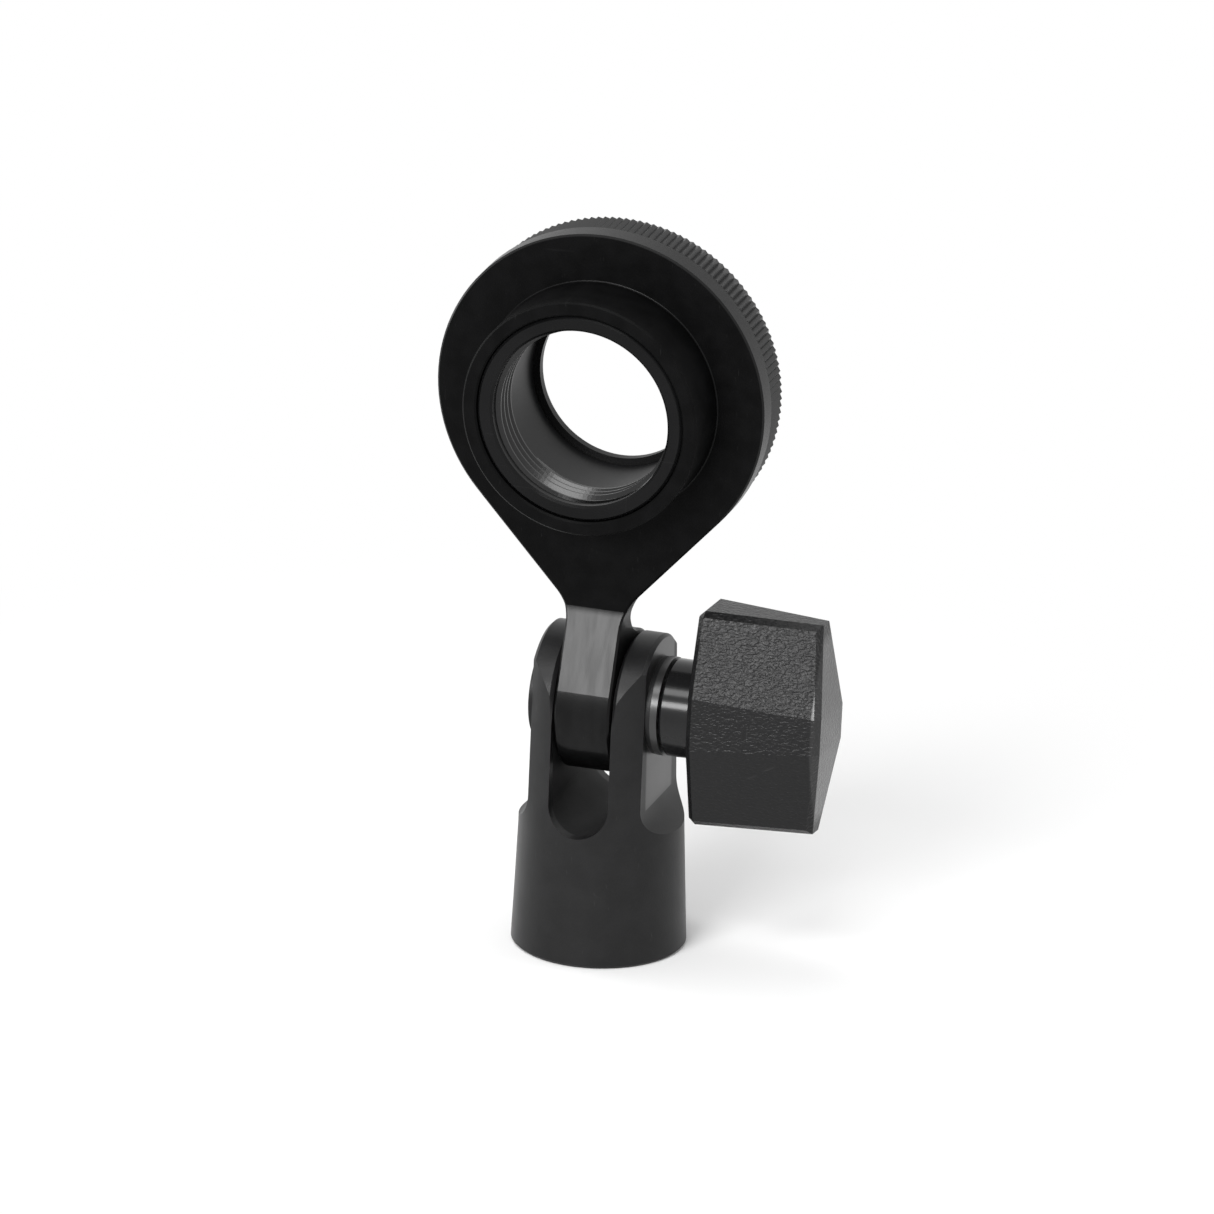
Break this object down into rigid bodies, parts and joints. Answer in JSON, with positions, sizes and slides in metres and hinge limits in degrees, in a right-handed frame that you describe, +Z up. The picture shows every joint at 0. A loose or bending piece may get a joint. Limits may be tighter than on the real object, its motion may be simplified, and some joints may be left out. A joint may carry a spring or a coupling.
{
  "type": "microphone stand mount",
  "caption": "Black swivel mount for a microphone stand: a threaded base, a clamp knob and a tilting teardrop head that holds a knurled threaded ring.",
  "frame": {"origin": "centre of the stand thread at the mount's underside", "axes": "+Z up along the stand thread, -Y the way the threaded ring's open end faces, +X along the clamp axis to the knob"},
  "size_m": [0.0581, 0.0271, 0.1079],
  "materials": {
    "base_paint": "satin",
    "insert_brass": "satin",
    "nut_steel": "satin",
    "liner_nylon": "matte",
    "head_coat": "satin",
    "ring_coat": "satin",
    "keeper_coat": "gloss",
    "slide_nylon": "matte",
    "washer_steel": "gloss",
    "stud_steel": "satin",
    "knob_plastic": "matte"
  },
  "bodies": {
    "base": {"swivel_base": "base_paint", "stand_thread_insert": "insert_brass", "clamp_nut": "nut_steel", "left_friction_washer": "liner_nylon", "right_friction_washer": "liner_nylon"},
    "head": {"holder_head": "head_coat", "slide_washer": "slide_nylon"},
    "ring": {"threaded_ring": "ring_coat", "retaining_ring": "keeper_coat"},
    "washer": {"pressure_washer": "washer_steel"},
    "knob": {"knob": "knob_plastic", "clamp_stud": "stud_steel"}
  },
  "joints": [
    {"name": "head_tilt", "type": "hinge", "parent": "base", "child": "head", "pos_m": [0, 0, 0.0367], "axis": [1, 0, 0], "range_deg": [-115, 115]},
    {"name": "ring_spin", "type": "hinge", "parent": "head", "child": "ring", "pos_m": [0, 0, 0.0836], "axis": [0, 1, 0], "continuous": true},
    {"name": "washer_slide", "type": "slide", "parent": "base", "child": "washer", "axis": [1, 0, 0], "range_m": [0, 0.0016]},
    {"name": "knob_turn", "type": "hinge", "parent": "washer", "child": "knob", "pos_m": [0, 0, 0.0367], "axis": [1, 0, 0], "range_deg": [0, 540]}
  ],
  "couplings": [
    {"joint": "washer_slide", "follows": "knob_turn", "m_per_rad": 0.00015915}
  ]
}
